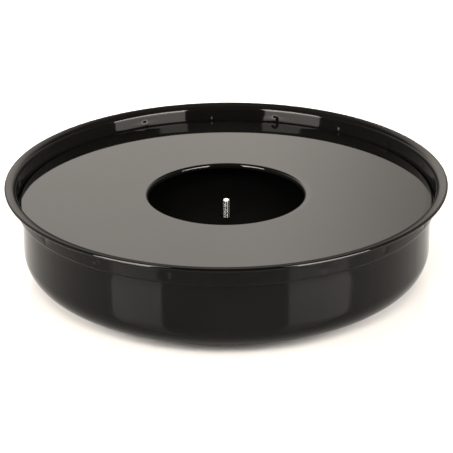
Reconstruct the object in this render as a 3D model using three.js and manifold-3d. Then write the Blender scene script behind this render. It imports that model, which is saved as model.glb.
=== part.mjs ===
// Base of a round umbrella stand: a pressed steel pan with a curled rim, a loose cover plate
// that rests on the pan's ledge, a ballast disc under it, and a bolt whose thread stands up
// in the middle as the stud for a post. Millimetres, +Z up, origin on the floor under the axis.

import * as THREE from 'three';
import { mergeVertices } from 'three/addons/utils/BufferGeometryUtils.js';
import Module from 'manifold-3d';

// Driving dimensions
const GAP = 0.3; // left between pieces that touch
const SHEET = 1.0; // thickness of the pressed steel sheet
const HEIGHT = 89; // floor to the top of the rim
const RIM_RADIUS = 200; // outside of the curled rim
const FOOT_DROP = 3; // floor to the underside of the pan

const BAND_RADIUS = 191; // outside of the band above the ledge, carried up to the rim's height
const BAND_DRAFT = 4; // degrees that the band leans outward
const WALL_RADIUS = 185; // outside of the wall below the ledge
const CORNER_RADIUS = 25; // outside, between the wall and the floor of the pan
const LEDGE_DEPTH = 19.5; // rim top to the upper face of the ledge
const LEDGE_BEND = 1.5;
const FLARE_BEND = 4; // from the band out to the crown of the rim
const CROWN_SLOPE = 12; // degrees that the crown still rises outward
const CURL_RADIUS = 1.2; // of the rolled edge, at the middle of the sheet
const CURL_END = -153; // degrees from +X where the rolled edge stops, seen in section

const BOSS_RADIUS = 24; // flat top of the raised middle of the floor
const BOSS_RISE = 6.4;
const BOSS_BEND = 2;

const PIP_COUNT = 18; // pressed into the band just above the cover plate
const PIP_START = 15; // degrees from +X to the first pip
const PIP_DEPTH = 12.8; // rim top to the middle of a pip
const PIP_RADIUS = 2.75;
const PIP_RISE = 0.9;
const PIP_FACETS = [8, 6]; // round a pip's sphere, and from pole to pole

const COVER_DEPTH = 15.5; // rim top to the top of the cover plate
const COVER_RADIUS = 187.5; // passes the pips
const COVER_BEND = 2; // at its edge and round the hole
const HOLE_RADIUS = 71; // clear opening of the cover plate
const COLLAR_HEIGHT = 4.5; // of the turned-down edge of the hole

const BALLAST_TOP = 50.5;
const BALLAST_RADIUS = 178;
const BALLAST_CORNER = 22;
const BALLAST_BEVEL = 2;
const POCKET_RADIUS = 34; // recess under the ballast disc, over the boss and the nut
const POCKET_SPARE = 1.5; // above the nut

const BOLT_RADIUS = 3; // M6
const BOLT_LENGTH = 60;
const BOLT_CHAMFER = 0.6;
const HEAD_HEIGHT = 4;
const NUT_HEIGHT = 5.2;
const HEX_ACROSS_FLATS = 10;
const WASHER_RADIUS = 6;
const WASHER_THICKNESS = 1.6;
const SEAL_RADIUS = 8;
const SEAL_THICKNESS = 1.5;
const LOOSE_HOLE = BOLT_RADIUS + 2 * GAP; // through the ballast disc

const PAD_RADIUS = 12.5;
const PAD_CIRCLE = 140; // centres of the foot pads
const PAD_BEVEL = 0.7;

const ROUND_STEPS = 72; // facets round the large pieces
const SMALL_STEPS = 24; // facets round the small ones

// Heights worked out from the driving dimensions
const PAN_FLOOR = FOOT_DROP + SHEET;
const LEDGE_TOP = HEIGHT - LEDGE_DEPTH;
const COVER_TOP = HEIGHT - COVER_DEPTH;
const PIP_HEIGHT = HEIGHT - PIP_DEPTH;
const BOSS_UNDERSIDE = FOOT_DROP + BOSS_RISE;
const BOSS_TOP = BOSS_UNDERSIDE + SHEET;
const HEAD_WASHER_Z = BOSS_UNDERSIDE - GAP - WASHER_THICKNESS;
const HEAD_TOP = HEAD_WASHER_Z - GAP;
const SEAL_Z = BOSS_TOP + GAP;
const NUT_WASHER_Z = SEAL_Z + SEAL_THICKNESS + GAP;
const NUT_Z = NUT_WASHER_Z + WASHER_THICKNESS + GAP;
const POCKET_TOP = NUT_Z + NUT_HEIGHT + POCKET_SPARE;

const wasm = await Module();
wasm.setup();

// Sections: points are [radius, height]

function arc(r, z, radius, fromDegrees, toDegrees, steps) {
  const points = [];
  for (let i = 0; i <= steps; i += 1) {
    const angle = THREE.MathUtils.degToRad(fromDegrees + ((toDegrees - fromDegrees) * i) / steps);
    points.push([r + radius * Math.cos(angle), z + radius * Math.sin(angle)]);
  }
  return points;
}

// A line through the corners, each [radius, height, bend radius, steps] rounded to an arc.
function bentLine(corners) {
  const points = [];
  corners.forEach(([r, z, bend, steps], i) => {
    if (!bend) {
      points.push([r, z]);
      return;
    }
    const corner = new THREE.Vector2(r, z);
    const back = new THREE.Vector2(...corners[i - 1].slice(0, 2)).sub(corner).normalize();
    const ahead = new THREE.Vector2(...corners[i + 1].slice(0, 2)).sub(corner).normalize();
    const half = Math.acos(back.dot(ahead)) / 2;
    const inward = back.clone().add(ahead).normalize();
    const middle = inward.multiplyScalar(bend / Math.sin(half)).add(corner);
    const start = back.clone().multiplyScalar(bend / Math.tan(half)).add(corner).sub(middle);
    const end = ahead.clone().multiplyScalar(bend / Math.tan(half)).add(corner).sub(middle);
    const turn = Math.atan2(start.cross(end), start.dot(end));
    for (let k = 0; k <= steps; k += 1) {
      const spoke = start.clone().rotateAround(new THREE.Vector2(), (turn * k) / steps);
      points.push([middle.x + spoke.x, middle.y + spoke.y]);
    }
  });
  return points;
}

// The closed section of a sheet whose middle follows the line.
function sheetSection(line, thickness) {
  const points = line.map(([r, z]) => new THREE.Vector2(r, z));
  const directions = points.slice(1).map((point, i) => point.clone().sub(points[i]).normalize());
  const sides = [[], []];
  points.forEach((point, i) => {
    const before = directions[Math.max(i - 1, 0)];
    const after = directions[Math.min(i, directions.length - 1)];
    const along = before.clone().add(after).normalize();
    const reach = thickness / 2 / along.dot(after);
    const across = new THREE.Vector2(-along.y, along.x).multiplyScalar(reach);
    sides[0].push([point.x + across.x, point.y + across.y]);
    sides[1].push([point.x - across.x, point.y - across.y]);
  });
  return [...sides[0], ...sides[1].reverse()];
}

function ringSection(innerRadius, outerRadius, bottom, top) {
  return [[innerRadius, bottom], [outerRadius, bottom], [outerRadius, top], [innerRadius, top]];
}

// Solids

// Turns a closed section about the Z axis.
function turned(section, steps) {
  const area = THREE.ShapeUtils.area(section.map(([r, z]) => new THREE.Vector2(r, z)));
  const outward = area > 0 ? section : [...section].reverse();
  const loop = [...outward, outward[0]].map(([r, z]) => new THREE.Vector2(r, z));
  return new THREE.LatheGeometry(loop, steps).rotateX(Math.PI / 2);
}

function hexagon(acrossFlats, bottom, height) {
  const radius = acrossFlats / 2 / Math.cos(Math.PI / 6);
  return new THREE.CylinderGeometry(radius, radius, height, 6)
    .rotateX(Math.PI / 2)
    .translate(0, 0, bottom + height / 2);
}

function toManifold(geometry) {
  const bare = geometry.clone();
  bare.deleteAttribute('normal');
  bare.deleteAttribute('uv');
  const merged = mergeVertices(bare);
  const vertProperties = new Float32Array(merged.attributes.position.array);
  const triVerts = new Uint32Array(merged.index.array);
  return new wasm.Manifold(new wasm.Mesh({ numProp: 3, vertProperties, triVerts }));
}

function toGeometry(manifold) {
  const { vertProperties, triVerts } = manifold.getMesh();
  const geometry = new THREE.BufferGeometry();
  geometry.setAttribute('position', new THREE.BufferAttribute(vertProperties, 3));
  geometry.setIndex(new THREE.BufferAttribute(triVerts, 1));
  geometry.computeVertexNormals();
  return geometry;
}

// The pan

// Outside of the band at a height.
function bandRadius(height) {
  return BAND_RADIUS - (HEIGHT - height) * Math.tan(THREE.MathUtils.degToRad(BAND_DRAFT));
}

function panLine() {
  const half = SHEET / 2;
  const bossHeight = BOSS_UNDERSIDE + half;
  const floorHeight = FOOT_DROP + half;
  const curlCentre = [RIM_RADIUS - half - CURL_RADIUS, HEIGHT - half - CURL_RADIUS];
  const curl = arc(...curlCentre, CURL_RADIUS, 90 + CROWN_SLOPE, CURL_END, 5);
  const [crownEnd, crownHeight] = curl[0];
  const crownWidth = crownEnd - BAND_RADIUS + half;
  const crownRise = Math.tan(THREE.MathUtils.degToRad(CROWN_SLOPE)) * crownWidth;
  const bandTop = crownHeight - crownRise;
  const line = bentLine([
    [BOLT_RADIUS + GAP, bossHeight],
    [BOSS_RADIUS, bossHeight, BOSS_BEND, 1],
    [BOSS_RADIUS + BOSS_RISE, floorHeight, BOSS_BEND, 1],
    [WALL_RADIUS - half, floorHeight, CORNER_RADIUS - half, 5],
    [WALL_RADIUS - half, LEDGE_TOP - half, LEDGE_BEND, 1],
    [bandRadius(LEDGE_TOP) - half, LEDGE_TOP - half, LEDGE_BEND, 1],
    [bandRadius(bandTop) - half, bandTop, FLARE_BEND, 4],
    curl[0],
  ]);
  return [...line.slice(0, -1), ...curl];
}

// A pip pressed in from outside: a dome inside the band, a dimple outside it.
function pressPips(pan) {
  const bandInside = bandRadius(PIP_HEIGHT) - SHEET;
  const dome = (PIP_RADIUS ** 2 + PIP_RISE ** 2) / (2 * PIP_RISE);
  const centre = [bandInside - PIP_RISE + dome, 0, PIP_HEIGHT];
  const keep = new THREE.BoxGeometry(dome, 2 * dome, 2 * dome)
    .translate(bandInside + SHEET / 2 - dome / 2, 0, PIP_HEIGHT);
  const bump = toManifold(new THREE.SphereGeometry(dome, ...PIP_FACETS).translate(...centre))
    .intersect(toManifold(keep));
  const dimple = toManifold(new THREE.SphereGeometry(dome - SHEET, ...PIP_FACETS).translate(...centre));
  let pressed = pan;
  for (let i = 0; i < PIP_COUNT; i += 1) {
    const turn = [0, 0, PIP_START + (i * 360) / PIP_COUNT];
    pressed = pressed.add(bump.rotate(turn)).subtract(dimple.rotate(turn));
  }
  return pressed;
}

function pan() {
  const plain = turned(sheetSection(panLine(), SHEET), ROUND_STEPS);
  return toGeometry(pressPips(toManifold(plain)));
}

// What stands in the pan

function coverPlate() {
  const half = SHEET / 2;
  const edge = COVER_RADIUS - half;
  const line = bentLine([
    [edge, LEDGE_TOP + GAP],
    [edge, COVER_TOP - half, COVER_BEND, 2],
    [HOLE_RADIUS + half, COVER_TOP - half, COVER_BEND, 2],
    [HOLE_RADIUS + half, COVER_TOP - COLLAR_HEIGHT],
  ]);
  return turned(sheetSection(line, SHEET), ROUND_STEPS);
}

function ballastDisc() {
  const underside = PAN_FLOOR + GAP;
  const cornerCentre = [BALLAST_RADIUS - BALLAST_CORNER, underside + BALLAST_CORNER];
  const corner = arc(...cornerCentre, BALLAST_CORNER, -90, 0, 4);
  const section = [
    [LOOSE_HOLE, POCKET_TOP],
    [POCKET_RADIUS - BALLAST_BEVEL, POCKET_TOP],
    [POCKET_RADIUS, underside],
    ...corner,
    [BALLAST_RADIUS, BALLAST_TOP - BALLAST_BEVEL],
    [BALLAST_RADIUS - BALLAST_BEVEL, BALLAST_TOP],
    [LOOSE_HOLE, BALLAST_TOP],
  ];
  return turned(section, ROUND_STEPS);
}

function studBolt() {
  const top = HEAD_TOP + BOLT_LENGTH;
  const overlap = HEAD_HEIGHT / 2;
  const shank = turned([
    [0, HEAD_TOP - overlap],
    [BOLT_RADIUS, HEAD_TOP - overlap],
    [BOLT_RADIUS, top - BOLT_CHAMFER],
    [BOLT_RADIUS - BOLT_CHAMFER, top],
    [0, top],
  ], SMALL_STEPS);
  const head = hexagon(HEX_ACROSS_FLATS, HEAD_TOP - HEAD_HEIGHT, HEAD_HEIGHT);
  return toGeometry(toManifold(shank).add(toManifold(head)));
}

function washer(outerRadius, bottom, thickness) {
  const section = ringSection(BOLT_RADIUS + GAP, outerRadius, bottom, bottom + thickness);
  return turned(section, SMALL_STEPS);
}

function studNut() {
  const boreRadius = BOLT_RADIUS + GAP;
  const bore = new THREE.CylinderGeometry(boreRadius, boreRadius, 2 * NUT_HEIGHT, SMALL_STEPS)
    .rotateX(Math.PI / 2)
    .translate(0, 0, NUT_Z + NUT_HEIGHT / 2);
  const block = hexagon(HEX_ACROSS_FLATS, NUT_Z, NUT_HEIGHT);
  return toGeometry(toManifold(block).subtract(toManifold(bore)));
}

// Feet

function footPad() {
  const top = FOOT_DROP - GAP;
  return turned([
    [0, 0],
    [PAD_RADIUS - PAD_BEVEL, 0],
    [PAD_RADIUS, PAD_BEVEL],
    [PAD_RADIUS, top],
    [0, top],
  ], SMALL_STEPS);
}

// Assembly

const gloss = { color: 0x060606, roughness: 0.12, metalness: 0 };
const blackStone = { color: 0x080808, roughness: 0.9, metalness: 0 };
const zinc = { color: 0xb4b8bc, roughness: 0.35, metalness: 1 };
const rubber = { color: 0x0c0c0c, roughness: 0.8, metalness: 0 };

const stand = new THREE.Group();

function addPiece(name, geometry, look) {
  const mesh = new THREE.Mesh(geometry, new THREE.MeshStandardMaterial(look));
  mesh.name = name;
  stand.add(mesh);
  return mesh;
}

addPiece('pan', pan(), gloss);
addPiece('cover_plate', coverPlate(), gloss);
addPiece('ballast_disc', ballastDisc(), blackStone);
addPiece('stud_bolt', studBolt(), zinc);
addPiece('head_washer', washer(WASHER_RADIUS, HEAD_WASHER_Z, WASHER_THICKNESS), zinc);
addPiece('sealing_washer', washer(SEAL_RADIUS, SEAL_Z, SEAL_THICKNESS), rubber);
addPiece('nut_washer', washer(WASHER_RADIUS, NUT_WASHER_Z, WASHER_THICKNESS), zinc);
addPiece('stud_nut', studNut(), zinc);

const PAD_NAMES = ['back_right', 'back_left', 'front_left', 'front_right'];
PAD_NAMES.forEach((place, i) => {
  const angle = THREE.MathUtils.degToRad(45 + 90 * i);
  const pad = addPiece(`foot_pad_${place}`, footPad(), rubber);
  pad.position.set(PAD_CIRCLE * Math.cos(angle), PAD_CIRCLE * Math.sin(angle), 0);
});

export default stand;
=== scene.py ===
import math

import bmesh
import bpy
import numpy as np
from mathutils import Matrix, Vector


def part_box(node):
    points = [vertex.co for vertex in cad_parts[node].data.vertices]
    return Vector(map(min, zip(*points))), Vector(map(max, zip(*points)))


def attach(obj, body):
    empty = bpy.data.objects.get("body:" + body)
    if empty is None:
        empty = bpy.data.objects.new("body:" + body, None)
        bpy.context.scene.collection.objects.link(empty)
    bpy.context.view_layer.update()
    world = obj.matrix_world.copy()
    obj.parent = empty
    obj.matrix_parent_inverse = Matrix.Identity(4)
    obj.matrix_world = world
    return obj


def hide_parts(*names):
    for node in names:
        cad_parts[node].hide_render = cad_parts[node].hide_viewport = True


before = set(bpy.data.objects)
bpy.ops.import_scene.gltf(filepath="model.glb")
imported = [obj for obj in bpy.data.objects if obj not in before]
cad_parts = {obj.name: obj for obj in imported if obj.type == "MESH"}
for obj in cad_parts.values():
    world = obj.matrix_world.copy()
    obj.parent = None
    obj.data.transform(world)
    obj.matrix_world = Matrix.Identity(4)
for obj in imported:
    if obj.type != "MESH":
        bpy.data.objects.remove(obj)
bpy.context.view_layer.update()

# The round base of an umbrella stand. Its pieces are turned about the Z axis from sections drawn as
# (radius, height), or built ring by ring, at the sizes of the CAD frame, with the fine shape that
# the frame leaves out. Lengths are in metres and angles in degrees unless a line says otherwise.

MM = 0.001

# Sizes that the frame gives
PAN_LOW, PAN_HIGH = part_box("pan")
COVER_LOW, COVER_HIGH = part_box("cover_plate")
BALLAST_LOW, BALLAST_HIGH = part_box("ballast_disc")
BOLT_LOW, BOLT_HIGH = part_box("stud_bolt")
NUT_LOW, NUT_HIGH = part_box("stud_nut")

# Pan, a pressing of one sheet
SHEET = 1.0 * MM
HALF_SHEET = SHEET / 2
RIM_RADIUS = 200 * MM
RIM_TOP = PAN_HIGH.z - 0.005 * MM
PAN_UNDERSIDE = PAN_LOW.z
BAND_RADIUS = 191 * MM
BAND_DRAFT = 4
WALL_RADIUS = 185 * MM
CORNER_RADIUS = 25 * MM
LEDGE_TOP = RIM_TOP - 19.5 * MM
LEDGE_BEND = 1.5 * MM
FLARE_BEND = 4 * MM
CROWN_SLOPE = 12
CURL_RADIUS = 1.2 * MM
CURL_END = -153
BOSS_RADIUS = 24 * MM
BOSS_RISE = 6.4 * MM
BOSS_BEND = 2.0 * MM
BOLT_HOLE = 3.3 * MM

# Pips pressed into the band from outside
PIP_COUNT = 18
PIP_START = 15
PIP_HEIGHT = RIM_TOP - 12.8 * MM
PIP_RADIUS = 5.2 * MM
PIP_RISE = 0.45 * MM

# Cover plate, with the slow waves that flat sheet keeps from rolling
COVER_TOP = COVER_HIGH.z
COVER_EDGE = COVER_HIGH.x
COVER_FOOT = LEDGE_TOP + 0.3 * MM
COVER_BEND = 2 * MM
HOLE_RADIUS = 71 * MM
COVER_STEP = 5 * MM
COVER_COLUMNS = 288
WAVE_MARGIN = 4 * MM
WAVE_DEPTH = 0.02 * MM

# Ballast disc
BALLAST_RADIUS = BALLAST_HIGH.x
BALLAST_CORNER = 22 * MM
BALLAST_BEVEL = 2 * MM
POCKET_RADIUS = 34 * MM
POCKET_TOP = NUT_HIGH.z + 1.5 * MM
LOOSE_HOLE = 3.6 * MM
BALLAST_STEP = 4 * MM
BALLAST_COLUMNS = 180
HOLLOW_DEPTH = 0.12 * MM

# Fasteners; the hexagons' round faces are a share of the width across the flats
BOLT_RADIUS = 3 * MM
THREAD_PITCH = 1.0 * MM
THREAD_DEPTH = 0.61 * MM
THREAD_STEPS = 9
GROOVE_SLOPE = 2.3
PLAIN_SHANK = 0.8 * MM
END_CHAMFER = 0.9 * MM
END_SLOPE = 0.9
HEAD_HEIGHT = 4 * MM
HEAD_EDGE = 0.2 * MM
ACROSS_FLATS = 10 * MM
HEX_FACE = 0.94
HEX_CHAMFER = 30
NUT_SINK = 0.4 * MM
WASHER_EDGE = 0.15 * MM
SEAL_EDGE = 0.3 * MM
BOLT_COLUMNS, NUT_COLUMNS, WASHER_COLUMNS = 48, 96, 64
HUB_SHARE = 0.5

# Foot pads; the ring pressed into the foot and the inmost rings are shares of the pad's radius
PAD_COLUMNS = 48
PAD_FOOT_EDGE = 0.7 * MM
PAD_TOP_EDGE = 0.3 * MM
PAD_GROOVE = 0.4 * MM
PAD_GROOVE_SHARES = (0.45, 0.5, 0.56, 0.61)
PAD_FOOT_HUB = 0.2

# Looks
NOISE_MIDDLE = (0.35, 0.65)
ENAMEL_DARK, ENAMEL_PALE = (0.0032, 0.0031, 0.0029), (0.0048, 0.0046, 0.0043)
# Zinc colours far darker than zinc: a painted shade for the stud down in the well
ZINC_AND_SHADE_DARK, ZINC_AND_SHADE_PALE = (0.075, 0.076, 0.078), (0.12, 0.12, 0.118)
# A painted highlight: the far brighter colour at the stud's end
ZINC_PAINTED_GLINT = (0.85, 0.85, 0.84)
# Colours far darker than black paint: a painted shade for the ballast down in the recess under the
# cover's hole
BLACK_PAINT_AND_SHADE_DARK, BLACK_PAINT_AND_SHADE_PALE = (0.0002, 0.0002, 0.0002), (0.0008, 0.0008, 0.0007)
RUBBER_DARK, RUBBER_PALE = (0.012, 0.012, 0.012), (0.03, 0.03, 0.029)
SPIN_SQUEEZE = 0.02

# Stage
FLOOR_SIDE = 14
FLOOR_TONE = 0.86
COVE_TINT = (1.0, 0.93, 0.85)
LAMP_COLOUR = (1.0, 0.94, 0.87)
SOFTBOX_HEIGHT = 0.5
SOFTBOX_RADIANCE = 64.0
TOP_LIGHT_SIDE = 3.5
TOP_LIGHT_RADIANCE = 0.5
FILL_WIDTH, FILL_HEIGHT = 2.4, 1.2
CAMERA_PLACE = (0, -1.6457, 0.7553)
CAMERA_FALL = 23.64
CAMERA_ROLL = -0.45
LENS = 155.8
SENSOR_WIDTH = 36
SHIFT_UP = 0.0117


# Sections


def arc(r, z, radius, start, stop, steps):
    angles = np.radians(np.linspace(start, stop, steps + 1))
    return [(r + radius * math.cos(a), z + radius * math.sin(a)) for a in angles]


def bent_line(corners):
    """The line through corners: (radius, height), or rounded (radius, height, bend, steps)."""
    points = []
    for i, corner in enumerate(corners):
        here = Vector(corner[:2])
        if len(corner) == 2:
            points.append(tuple(here))
            continue
        bend, steps = corner[2:]
        back = (Vector(corners[i - 1][:2]) - here).normalized()
        ahead = (Vector(corners[i + 1][:2]) - here).normalized()
        half = back.angle(ahead) / 2
        middle = here + (back + ahead).normalized() * bend / math.sin(half)
        spokes = [here + way * bend / math.tan(half) - middle for way in (back, ahead)]
        start = math.atan2(spokes[0].y, spokes[0].x)
        cross = spokes[0].x * spokes[1].y - spokes[0].y * spokes[1].x
        turn = math.atan2(cross, spokes[0].dot(spokes[1]))
        points += arc(*middle, bend, math.degrees(start), math.degrees(start + turn), steps)
    return points


def filled(line, step):
    """The line with points added so that none are further apart than step."""
    points = [line[0]]
    for before, after in zip(line, line[1:]):
        count = max(1, math.ceil(math.dist(before, after) / step))
        for k in range(1, count + 1):
            points.append(tuple(np.add(before, np.subtract(after, before) * k / count)))
    return points


def sheet_section(line, thickness, cap_steps=6):
    """The closed section of a sheet that follows the line, with rounded edges."""
    points = np.array(line)
    ways = np.diff(points, axis=0)
    ways /= np.linalg.norm(ways, axis=1)[:, None]
    before = np.vstack([ways[:1], ways])
    after = np.vstack([ways, ways[-1:]])
    along = before + after
    along /= np.linalg.norm(along, axis=1)[:, None]
    reach = thickness / 2 / np.sum(along * after, axis=1)
    across = np.stack([-along[:, 1], along[:, 0]], axis=1) * reach[:, None]
    left, right = points + across, points - across

    def cap(end, way):
        heading = math.degrees(math.atan2(way[1], way[0]))
        return arc(*end, thickness / 2, heading + 90, heading - 90, cap_steps)[1:-1]

    return [*left, *cap(points[-1], ways[-1]), *right[::-1], *cap(points[0], -ways[0])]


def rounded_section(corners, round_to, steps=4):
    """A closed section of (radius, height) corners, each rounded to an arc."""
    ring = [corners[-1], *corners, corners[0]]
    joined = bent_line([ring[0], *[(*c, round_to, steps) for c in ring[1:-1]], ring[-1]])
    return joined[1:-1]


# Meshes


def finished(name, vertices, faces, body, material, replaced):
    """A smooth piece with its normals outward, on its body and in place of its CAD node."""
    mesh = bpy.data.meshes.new(name)
    mesh.from_pydata(vertices, [], faces)
    mesh.validate()
    shaped = bmesh.new()
    shaped.from_mesh(mesh)
    bmesh.ops.recalc_face_normals(shaped, faces=shaped.faces)
    shaped.to_mesh(mesh)
    shaped.free()
    mesh.polygons.foreach_set("use_smooth", [True] * len(mesh.polygons))
    piece = bpy.data.objects.new(name, mesh)
    bpy.context.scene.collection.objects.link(piece)
    piece.data.materials.append(material)
    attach(piece, body)
    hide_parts(replaced)
    return piece


def turned(section, angles, shape=None):
    """Vertices and faces of a closed section turned about Z, at angles in radians.

    shape takes a column's radii, heights and angle, and gives them back moved.
    """
    section = np.array(section)
    rows, columns = len(section), len(angles)
    vertices = []
    for angle in angles:
        r, z = section[:, 0].copy(), section[:, 1].copy()
        if shape:
            r, z = shape(r, z, angle)
        vertices += zip(r * math.cos(angle), r * math.sin(angle), z)
    faces = []
    for c in range(columns):
        ahead = (c + 1) % columns
        for k in range(rows):
            up = (k + 1) % rows
            faces.append((c * rows + k, ahead * rows + k, ahead * rows + up, c * rows + up))
    return vertices, faces


def even_angles(count):
    return np.arange(count) * math.tau / count


def pip_angles(spread=1.2, fine=12, coarse=4):
    """Column angles that are close together across each pip."""
    pitch = 360 / PIP_COUNT
    inner = np.linspace(-spread, spread, fine, endpoint=False)
    outer = np.linspace(spread, pitch - spread, coarse * 2, endpoint=False)
    sector = np.concatenate([inner, outer])
    return np.radians(np.concatenate([PIP_START + pitch * k + sector for k in range(PIP_COUNT)]))


# Pan


def band_radius(height):
    """Outside of the leaning band at a height."""
    return BAND_RADIUS - (RIM_TOP - height) * math.tan(math.radians(BAND_DRAFT))


def pan_line():
    curl_centre = (RIM_RADIUS - HALF_SHEET - CURL_RADIUS, RIM_TOP - HALF_SHEET - CURL_RADIUS)
    curl = arc(*curl_centre, CURL_RADIUS, 90 + CROWN_SLOPE, CURL_END, steps=18)
    wall = WALL_RADIUS - HALF_SHEET
    ledge = LEDGE_TOP - HALF_SHEET
    floor = PAN_UNDERSIDE + HALF_SHEET
    crown_width = curl[0][0] - BAND_RADIUS + HALF_SHEET
    band_top = curl[0][1] - math.tan(math.radians(CROWN_SLOPE)) * crown_width
    line = bent_line([
        (BOLT_HOLE + HALF_SHEET, floor + BOSS_RISE),
        (BOSS_RADIUS, floor + BOSS_RISE, BOSS_BEND, 6),
        (BOSS_RADIUS + BOSS_RISE, floor, BOSS_BEND, 6),
        (wall, floor, CORNER_RADIUS - HALF_SHEET, 22),
        (wall, ledge, LEDGE_BEND, 7),
        (band_radius(LEDGE_TOP) - HALF_SHEET, ledge, LEDGE_BEND, 7),
        (band_radius(band_top) - HALF_SHEET, band_top, FLARE_BEND, 12),
        curl[0],
    ])
    return line[:-1] + curl


def pan_rows():
    """The pan's line, with points close together on the stretch of the band that holds the pips."""
    coarse, fine = 9 * MM, 0.6 * MM
    rows = []
    line = pan_line()
    for before, after in zip(line, line[1:]):
        has_pips = before[1] < PIP_HEIGHT < after[1]
        rows += filled([before, after], fine if has_pips else coarse)[:-1]
    return rows + [line[-1]]


def pressed(r, z, angle):
    """Moves the band inward at each pip."""
    pitch = math.tau / PIP_COUNT
    off = (angle - math.radians(PIP_START) + pitch / 2) % pitch - pitch / 2
    reach = np.hypot(off * BAND_RADIUS, z - PIP_HEIGHT)
    bowl = np.clip(1 - (reach / PIP_RADIUS) ** 2, 0, None) ** 2 * PIP_RISE
    on_band = (r > WALL_RADIUS) & (r < BAND_RADIUS + SHEET)
    return np.where(on_band, r - bowl, r), z


def make_pan(material):
    vertices, faces = turned(sheet_section(pan_rows(), SHEET), pip_angles(), pressed)
    return finished("pressed_pan", vertices, faces, "base", material, "pan")


# Cover plate


def make_cover(material):
    middle = COVER_TOP - HALF_SHEET
    edge = COVER_EDGE - HALF_SHEET
    collar = HOLE_RADIUS + HALF_SHEET
    line = bent_line([
        (edge, COVER_FOOT + HALF_SHEET),
        (edge, middle, COVER_BEND, 8),
        (collar, middle, COVER_BEND, 8),
        (collar, COVER_LOW.z + HALF_SHEET),
    ])
    flat_from, flat_to = HOLE_RADIUS + WAVE_MARGIN, COVER_EDGE - WAVE_MARGIN

    def rolled(r, z, angle):
        """Slow waves, in radians a metre, that fade out before both edges."""
        inside = np.clip((r - flat_from) / (flat_to - flat_from), 0, 1)
        fade = np.sin(math.pi * inside)
        x, y = r * math.cos(angle), r * math.sin(angle)
        wave = np.sin(x * 41 + 0.8) * np.sin(y * 33 + 1.9) + 0.5 * np.sin(x * 23 - y * 57)
        return r, z - fade * (1 + wave) * WAVE_DEPTH

    section = sheet_section(filled(line, COVER_STEP), SHEET)
    vertices, faces = turned(section, even_angles(COVER_COLUMNS), rolled)
    return finished("mirror_cover", vertices, faces, "cover", material, "cover_plate")


# Ballast disc


def make_ballast(material):
    low, top = BALLAST_LOW.z, BALLAST_HIGH.z
    corner_centre = (BALLAST_RADIUS - BALLAST_CORNER, low + BALLAST_CORNER)
    bevel_centre = (BALLAST_RADIUS - BALLAST_BEVEL, top - BALLAST_BEVEL)
    section = [
        (LOOSE_HOLE, POCKET_TOP),
        (POCKET_RADIUS - BALLAST_BEVEL, POCKET_TOP),
        (POCKET_RADIUS, low),
        *arc(*corner_centre, BALLAST_CORNER, -90, 0, steps=14),
        *arc(*bevel_centre, BALLAST_BEVEL, 0, 90, steps=6),
        (LOOSE_HOLE, top),
        (LOOSE_HOLE, POCKET_TOP),
    ]

    def cast(r, z, angle):
        """Slight hollows that trowelled concrete sets with, never above its CAD face."""
        x, y = r * math.cos(angle), r * math.sin(angle)
        hollow = np.sin(x * 150 + 2 * np.sin(y * 90)) * np.sin(y * 170 + 1.3) + 1
        near_top = (z > top - BALLAST_BEVEL / 2) & (r > 2 * LOOSE_HOLE)
        return r, np.where(near_top, z - hollow * HOLLOW_DEPTH, z)

    vertices, faces = turned(filled(section, BALLAST_STEP)[:-1], even_angles(BALLAST_COLUMNS), cast)
    return finished("cast_ballast", vertices, faces, "base", material, "ballast_disc")


# Fasteners


def bridged(pairs, count):
    """Faces between two rings of count points each, for each pair of ring numbers."""
    faces = []
    for low_ring, high_ring in pairs:
        low, high = low_ring * count, high_ring * count
        for c in range(count):
            ahead = (c + 1) % count
            faces.append((low + c, low + ahead, high + ahead, high + c))
    return faces


def capped(rings):
    """Vertices and faces of rings of points, each with as many points, closed at both ends."""
    count = len(rings[0])
    vertices = [point for ring in rings for point in ring]
    faces = bridged([(k, k + 1) for k in range(len(rings) - 1)], count)
    for ring, height in ((0, rings[0][0][2]), (len(rings) - 1, rings[-1][0][2])):
        vertices.append((0, 0, height))
        hub = len(vertices) - 1
        faces += [(ring * count + c, ring * count + (c + 1) % count, hub) for c in range(count)]
    return vertices, faces


def ring_of(radii, heights, angles):
    heights = np.broadcast_to(heights, radii.shape)
    return list(zip(radii * np.cos(angles), radii * np.sin(angles), heights))


def hexagon(angles):
    """Radii of the flats and of the round face, and how far the chamfer falls between them."""
    sixth = math.tau / 6
    off = (angles + sixth / 2) % sixth - sixth / 2
    flats = ACROSS_FLATS / 2 / np.cos(off)
    face = np.full_like(angles, ACROSS_FLATS / 2 * HEX_FACE)
    return flats, face, (flats - face) * math.tan(math.radians(HEX_CHAMFER))


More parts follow.
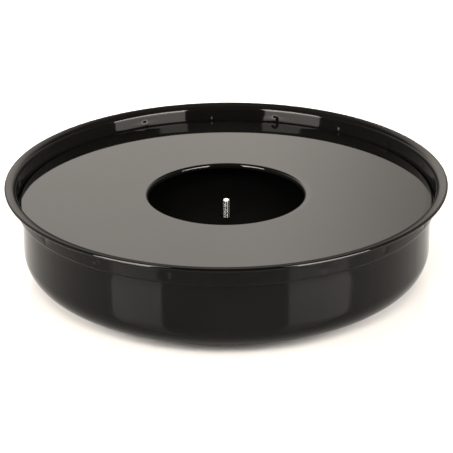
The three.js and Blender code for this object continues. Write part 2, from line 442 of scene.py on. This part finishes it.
def make_bolt(material):
    """Hex head and a rolled thread that runs to a chamfered end."""
    angles = even_angles(BOLT_COLUMNS)
    flats, face, fall = hexagon(angles)
    head_top = BOLT_LOW.z + HEAD_HEIGHT
    tip = BOLT_HIGH.z
    rings = [
        ring_of(face * HUB_SHARE, BOLT_LOW.z, angles),
        ring_of(face, BOLT_LOW.z, angles),
        ring_of(flats, BOLT_LOW.z + fall, angles),
        ring_of(flats, head_top - HEAD_EDGE, angles),
        ring_of(flats - HEAD_EDGE, head_top, angles),
    ]
    for z in np.arange(head_top, tip - 1e-6, THREAD_PITCH / THREAD_STEPS):
        phase = ((z - head_top) / THREAD_PITCH - angles / math.tau) % 1
        groove = np.clip(1 - np.abs(phase - 0.5) * GROOVE_SLOPE, 0, 1)
        shown = np.clip((z - head_top - PLAIN_SHANK) / THREAD_PITCH, 0, 1)
        radii = BOLT_RADIUS - THREAD_DEPTH * groove * shown
        limit = BOLT_RADIUS - max(0, z - (tip - END_CHAMFER)) * END_SLOPE
        rings.append(ring_of(np.minimum(radii, limit), z, angles))
    end = BOLT_RADIUS - END_CHAMFER * END_SLOPE
    rings.append(ring_of(np.full_like(angles, end), tip, angles))
    rings.append(ring_of(np.full_like(angles, end * HUB_SHARE), tip, angles))
    vertices, faces = capped(rings)
    bolt = finished("threaded_stud", vertices, faces, "base", material, "stud_bolt")
    bolt.data.set_sharp_from_angle(angle=math.radians(40))
    return bolt


def make_nut(material):
    """Hex nut, chamfered on both faces, with a countersunk bore."""
    angles = even_angles(NUT_COLUMNS)
    flats, face, fall = hexagon(angles)
    bore = np.full_like(angles, BOLT_HOLE)
    low, high = NUT_LOW.z, NUT_HIGH.z
    rings = [
        ring_of(bore, low + NUT_SINK, angles),
        ring_of(bore + NUT_SINK, low, angles),
        ring_of(face, low, angles),
        ring_of(flats, low + fall, angles),
        ring_of(flats, high - fall, angles),
        ring_of(face, high, angles),
        ring_of(bore + NUT_SINK, high, angles),
        ring_of(bore, high - NUT_SINK, angles),
    ]
    vertices = [point for ring in rings for point in ring]
    faces = bridged([(k, (k + 1) % len(rings)) for k in range(len(rings))], len(angles))
    nut = finished("hex_nut", vertices, faces, "base", material, "stud_nut")
    nut.data.set_sharp_from_angle(angle=math.radians(25))
    return nut


def make_washer(name, node, material, edge=WASHER_EDGE):
    low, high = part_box(node)
    corners = [(BOLT_HOLE, low.z), (high.x, low.z), (high.x, high.z), (BOLT_HOLE, high.z)]
    vertices, faces = turned(rounded_section(corners, edge), even_angles(WASHER_COLUMNS))
    return finished(name, vertices, faces, "base", material, node)


# Foot pads


def make_pad(node, material):
    """A round pad with rounded edges and a shallow ring pressed into its foot."""
    low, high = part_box(node)
    centre = (low + high) / 2
    radius, top = (high.x - low.x) / 2, high.z
    pressed_ring = zip(PAD_GROOVE_SHARES, (0, PAD_GROOVE, PAD_GROOVE, 0))
    section = [
        (radius * PAD_FOOT_HUB, 0),
        *((radius * share, z) for share, z in pressed_ring),
        *arc(radius - PAD_FOOT_EDGE, PAD_FOOT_EDGE, PAD_FOOT_EDGE, -90, 0, steps=5),
        *arc(radius - PAD_TOP_EDGE, top - PAD_TOP_EDGE, PAD_TOP_EDGE, 0, 90, steps=3),
        (radius * HUB_SHARE, top),
    ]
    angles = even_angles(PAD_COLUMNS)
    rings = [ring_of(np.full_like(angles, r), z, angles) for r, z in section]
    vertices, faces = capped(rings)
    placed = [(x + centre.x, y + centre.y, z) for x, y, z in vertices]
    return finished(node.replace("foot_pad", "rubber_pad"), placed, faces, "base", material, node)


# Materials


def new_material(name):
    material = bpy.data.materials.new(name)
    material.use_nodes = True
    return material, material.node_tree.nodes, material.node_tree.links


def add_noise(nodes, links, vector, scale, detail=3.0, roughness=0.55):
    noise = nodes.new("ShaderNodeTexNoise")
    noise.inputs["Scale"].default_value = scale
    noise.inputs["Detail"].default_value = detail
    noise.inputs["Roughness"].default_value = roughness
    links.new(vector, noise.inputs["Vector"])
    return noise.outputs["Fac"]


def add_range(nodes, links, value, low, high, source=NOISE_MIDDLE, kind="LINEAR"):
    """Goes from low to high while the value goes through the source range."""
    ranged = nodes.new("ShaderNodeMapRange")
    ranged.interpolation_type = kind
    ranged.inputs["From Min"].default_value = source[0]
    ranged.inputs["From Max"].default_value = source[1]
    ranged.inputs["To Min"].default_value = low
    ranged.inputs["To Max"].default_value = high
    links.new(value, ranged.inputs["Value"])
    return ranged.outputs["Result"]


def add_ramp(nodes, links, value, low, high, source=NOISE_MIDDLE):
    ramp = nodes.new("ShaderNodeValToRGB")
    ramp.color_ramp.elements[0].position = source[0]
    ramp.color_ramp.elements[0].color = (*low, 1)
    ramp.color_ramp.elements[1].position = source[1]
    ramp.color_ramp.elements[1].color = (*high, 1)
    links.new(value, ramp.inputs["Fac"])
    return ramp.outputs["Color"]


def add_bump(nodes, links, value, strength, distance, under=None):
    bump = nodes.new("ShaderNodeBump")
    bump.inputs["Strength"].default_value = strength
    bump.inputs["Distance"].default_value = distance
    links.new(value, bump.inputs["Height"])
    if under:
        links.new(under, bump.inputs["Normal"])
    return bump.outputs["Normal"]


def round_coordinates(nodes, links):
    """Object coordinates, and the same as (turn, radius, height) for marks left by spinning."""
    place = nodes.new("ShaderNodeTexCoord").outputs["Object"]
    split = nodes.new("ShaderNodeSeparateXYZ")
    links.new(place, split.inputs["Vector"])
    turn = nodes.new("ShaderNodeMath")
    turn.operation = "ARCTAN2"
    links.new(split.outputs["Y"], turn.inputs[0])
    links.new(split.outputs["X"], turn.inputs[1])
    flat = nodes.new("ShaderNodeVectorMath")
    flat.operation = "MULTIPLY"
    flat.inputs[1].default_value = (1, 1, 0)
    links.new(place, flat.inputs[0])
    radius = nodes.new("ShaderNodeVectorMath")
    radius.operation = "LENGTH"
    links.new(flat.outputs["Vector"], radius.inputs[0])
    slow = nodes.new("ShaderNodeMath")
    slow.operation = "MULTIPLY"
    slow.inputs[1].default_value = SPIN_SQUEEZE
    links.new(turn.outputs["Value"], slow.inputs[0])
    joined = nodes.new("ShaderNodeCombineXYZ")
    links.new(slow.outputs["Value"], joined.inputs["X"])
    links.new(radius.outputs["Value"], joined.inputs["Y"])
    links.new(split.outputs["Z"], joined.inputs["Z"])
    return place, joined.outputs["Vector"]


def enamel(name, ior, roughness, streaks):
    """Glossy black enamel: faint orange peel, spinning marks and a trace of handling haze."""
    material, nodes, links = new_material(name)
    shader = nodes["Principled BSDF"]
    place, spun = round_coordinates(nodes, links)
    shade = add_noise(nodes, links, place, scale=9.0)
    shaded = add_ramp(nodes, links, shade, ENAMEL_DARK, ENAMEL_PALE)
    links.new(shaded, shader.inputs["Base Color"])
    haze = add_noise(nodes, links, place, scale=17.0, detail=5.0)
    hazed = add_range(nodes, links, haze, low=roughness * 0.7, high=roughness * 1.5)
    links.new(hazed, shader.inputs["Roughness"])
    peel = add_noise(nodes, links, place, scale=420.0, detail=1.0)
    peeled = add_bump(nodes, links, peel, strength=1.0, distance=1.2e-6)
    marks = add_noise(nodes, links, spun, scale=900.0, detail=2.0)
    marked = add_bump(nodes, links, marks, strength=1.0, distance=streaks, under=peeled)
    links.new(marked, shader.inputs["Normal"])
    shader.inputs["IOR"].default_value = ior
    return material


def zinc_plate():
    """Dull zinc, slightly cloudy, with fine scratches. Its colours are far darker than zinc, a
    painted shade for the stud down in the well, and a far brighter colour at the stud's end is a
    painted highlight.
    """
    material, nodes, links = new_material("zinc_plate")
    shader = nodes["Principled BSDF"]
    place, spun = round_coordinates(nodes, links)
    cloud = add_noise(nodes, links, place, scale=300.0, detail=4.0)
    # Painted shade: the darkened zinc colours, varied at random by the cloudiness
    plated_and_shaded = add_ramp(nodes, links, cloud, ZINC_AND_SHADE_DARK, ZINC_AND_SHADE_PALE)
    height = nodes.new("ShaderNodeSeparateXYZ")
    links.new(place, height.inputs["Vector"])
    # Painted highlight: a far brighter colour towards the stud's end
    glint_mix = nodes.new("ShaderNodeMix")
    glint_mix.data_type = "RGBA"
    glint_mix.inputs["B"].default_value = (*ZINC_PAINTED_GLINT, 1)
    end = (BOLT_HIGH.z - 1.0 * MM, BOLT_HIGH.z - 0.4 * MM)
    glint_at_end = add_range(nodes, links, height.outputs["Z"], low=0, high=1, source=end)
    links.new(glint_at_end, glint_mix.inputs["Factor"])
    links.new(plated_and_shaded, glint_mix.inputs["A"])
    links.new(glint_mix.outputs["Result"], shader.inputs["Base Color"])
    dulled = add_range(nodes, links, cloud, low=0.38, high=0.24)
    links.new(dulled, shader.inputs["Roughness"])
    fine = add_noise(nodes, links, spun, scale=4000.0, detail=2.0)
    scratched = add_bump(nodes, links, fine, strength=0.5, distance=1e-5)
    links.new(scratched, shader.inputs["Normal"])
    shader.inputs["Metallic"].default_value = 1.0
    return material


def painted_concrete():
    """Matt black paint over cast concrete, with grit and small pores. Its colours are far darker
    than black paint, a painted shade for the recess under the cover's hole.
    """
    material, nodes, links = new_material("painted_concrete")
    shader = nodes["Principled BSDF"]
    place, _ = round_coordinates(nodes, links)
    grit = add_noise(nodes, links, place, scale=700.0, detail=6.0, roughness=0.7)
    # Painted shade: black paint darkened far below its own colour, varied by the grit
    painted = add_ramp(nodes, links, grit, BLACK_PAINT_AND_SHADE_DARK, BLACK_PAINT_AND_SHADE_PALE)
    links.new(painted, shader.inputs["Base Color"])
    matt = add_range(nodes, links, grit, low=0.95, high=0.8)
    links.new(matt, shader.inputs["Roughness"])
    pores = nodes.new("ShaderNodeTexVoronoi")
    pores.inputs["Scale"].default_value = 160.0
    links.new(place, pores.inputs["Vector"])
    pits = add_range(nodes, links, pores.outputs["Distance"], low=0, high=1, source=(0.0, 0.18))
    pitted = add_bump(nodes, links, pits, strength=0.6, distance=3e-4)
    gritty = add_bump(nodes, links, grit, strength=0.5, distance=2e-4, under=pitted)
    links.new(gritty, shader.inputs["Normal"])
    shader.inputs["Specular IOR Level"].default_value = 0.015
    return material


def black_rubber():
    """Moulded rubber with a fine grain and a little bloom."""
    material, nodes, links = new_material("black_rubber")
    shader = nodes["Principled BSDF"]
    place, _ = round_coordinates(nodes, links)
    bloom = add_noise(nodes, links, place, scale=120.0, detail=4.0)
    bloomed = add_ramp(nodes, links, bloom, RUBBER_DARK, RUBBER_PALE)
    links.new(bloomed, shader.inputs["Base Color"])
    matt = add_range(nodes, links, bloom, low=0.65, high=0.85)
    links.new(matt, shader.inputs["Roughness"])
    grain = add_noise(nodes, links, place, scale=2200.0, detail=2.0)
    grained = add_bump(nodes, links, grain, strength=0.4, distance=5e-5)
    links.new(grained, shader.inputs["Normal"])
    return material


def make_pieces():
    pan_enamel = enamel("pan_enamel", ior=1.16, roughness=0.05, streaks=1.6e-6)
    cover_enamel = enamel("cover_enamel", ior=1.2, roughness=0.035, streaks=3e-7)
    concrete = painted_concrete()
    zinc = zinc_plate()
    rubber = black_rubber()
    made = {
        "pan_enamel": [make_pan(pan_enamel)],
        "cover_enamel": [make_cover(cover_enamel)],
        "black_ballast": [make_ballast(concrete)],
        "zinc": [
            make_bolt(zinc),
            make_nut(zinc),
            make_washer("washer_under_head", "head_washer", zinc),
            make_washer("washer_under_nut", "nut_washer", zinc),
        ],
        "rubber": [make_washer("rubber_seal", "sealing_washer", rubber, SEAL_EDGE)],
    }
    pads = sorted(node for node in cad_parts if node.startswith("foot_pad"))
    made["rubber"] += [make_pad(node, rubber) for node in pads]


# Stage, lights and camera


def make_floor():
    """A pale floor that is clear from below, so that the underside can be looked at."""
    bpy.ops.mesh.primitive_plane_add(size=FLOOR_SIDE)
    floor = bpy.context.object
    floor.name = "studio_floor"
    material, nodes, links = new_material("studio_floor")
    shader = nodes["Principled BSDF"]
    shader.inputs["Base Color"].default_value = (FLOOR_TONE, FLOOR_TONE, FLOOR_TONE, 1)
    shader.inputs["Roughness"].default_value = 0.15
    shader.inputs["IOR"].default_value = 1.22
    sides = nodes.new("ShaderNodeMixShader")
    clear = nodes.new("ShaderNodeBsdfTransparent")
    links.new(nodes.new("ShaderNodeNewGeometry").outputs["Backfacing"], sides.inputs["Fac"])
    links.new(shader.outputs["BSDF"], sides.inputs[1])
    links.new(clear.outputs["BSDF"], sides.inputs[2])
    links.new(sides.outputs["Shader"], nodes["Material Output"].inputs["Surface"])
    floor.data.materials.append(material)


def make_world():
    """A studio cove with a bright band some 15 to 35 degrees up behind the stand.

    The band is weaker to the right and weakest in front, and the cove is dim above and below it.
    """
    world = bpy.data.worlds.new("studio")
    bpy.context.scene.world = world
    world.use_nodes = True
    nodes, links = world.node_tree.nodes, world.node_tree.links
    split = nodes.new("ShaderNodeSeparateXYZ")
    links.new(nodes.new("ShaderNodeTexCoord").outputs["Generated"], split.inputs["Vector"])
    rise = nodes.new("ShaderNodeValToRGB")
    # The height of a direction, as its Z, and the light from there
    stops = [(0.0, 0.2), (0.18, 0.35), (0.33, 2.8), (0.44, 3.9), (0.62, 0.26), (1.0, 0.24)]
    while len(rise.color_ramp.elements) < len(stops):
        rise.color_ramp.elements.new(0.5)
    for element, (place, level) in zip(rise.color_ramp.elements, stops):
        element.position = place
        element.color = (*(level * part for part in COVE_TINT), 1)
    links.new(split.outputs["Z"], rise.inputs["Fac"])
    back = add_range(nodes, links, split.outputs["Y"], 0.2, 1.0, (-0.35, 0.35), "SMOOTHSTEP")
    right = add_range(nodes, links, split.outputs["X"], 1.0, 0.5, (0.01, 0.13), "SMOOTHSTEP")
    strength = nodes.new("ShaderNodeMath")
    strength.operation = "MULTIPLY"
    links.new(back, strength.inputs[0])
    links.new(right, strength.inputs[1])
    links.new(rise.outputs["Color"], nodes["Background"].inputs["Color"])
    links.new(strength.outputs["Value"], nodes["Background"].inputs["Strength"])


def add_light(name, width, height, radiance):
    """A rectangular area light as bright as the radiance, out of the camera's sight."""
    light = bpy.data.lights.new(name, "AREA")
    light.shape = "RECTANGLE"
    light.size, light.size_y = width, height
    light.energy = radiance * math.pi * width * height
    light.color = LAMP_COLOUR
    lamp = bpy.data.objects.new(name, light)
    bpy.context.scene.collection.objects.link(lamp)
    lamp.visible_camera = False
    return lamp


def add_softbox(name, start, stop):
    """An upright light on the floor line from start to stop, there only to be mirrored."""
    start, stop = Vector((*start, 0)), Vector((*stop, 0))
    panel = add_light(name, (stop - start).length, SOFTBOX_HEIGHT, SOFTBOX_RADIANCE)
    panel.location = (start + stop) / 2 + Vector((0, 0, SOFTBOX_HEIGHT / 2))
    facing = (stop - start).normalized().cross(Vector((0, 0, 1)))
    if facing.y < 0:
        facing = -facing
    panel.rotation_euler = facing.to_track_quat("-Z", "Y").to_euler()
    panel.visible_diffuse = False


def make_lights():
    add_softbox("softbox_right", (0.21, -0.41), (1.30, -0.51))
    add_softbox("softbox_left", (-0.17, -0.33), (-0.75, -0.44))
    top = add_light("top_light", TOP_LIGHT_SIDE, TOP_LIGHT_SIDE, TOP_LIGHT_RADIANCE)
    top.location = (0, 1.0, 2.2)
    top.visible_glossy = False
    for name, place, radiance in (
        ("front_key", (0, -2.0, 3.0), 9.0),
        ("left_fill", (-2.6, 0.0, 0.75), 18.0),
        ("right_fill", (2.6, 0.0, 0.75), 18.0),
    ):
        lamp = add_light(name, FILL_WIDTH, FILL_HEIGHT, radiance)
        lamp.location = place
        lamp.rotation_euler = Vector(place).to_track_quat("Z", "Y").to_euler()
        lamp.visible_glossy = False


def make_camera():
    """In front of the stand and above it, looking down at it."""
    camera_data = bpy.data.cameras.new("camera")
    camera = bpy.data.objects.new("camera", camera_data)
    bpy.context.scene.collection.objects.link(camera)
    bpy.context.scene.camera = camera
    camera_data.sensor_width = SENSOR_WIDTH
    camera_data.lens = LENS
    camera_data.shift_y = SHIFT_UP
    camera_data.clip_start, camera_data.clip_end = 0.05, 50
    camera.location = CAMERA_PLACE
    pitch = Matrix.Rotation(math.radians(90 - CAMERA_FALL), 3, "X")
    roll = Matrix.Rotation(math.radians(CAMERA_ROLL), 3, "Z")
    camera.rotation_euler = (pitch @ roll).to_euler()


make_camera()
make_floor()
make_world()
make_lights()
make_pieces()
bpy.context.scene.view_settings.view_transform = "Standard"
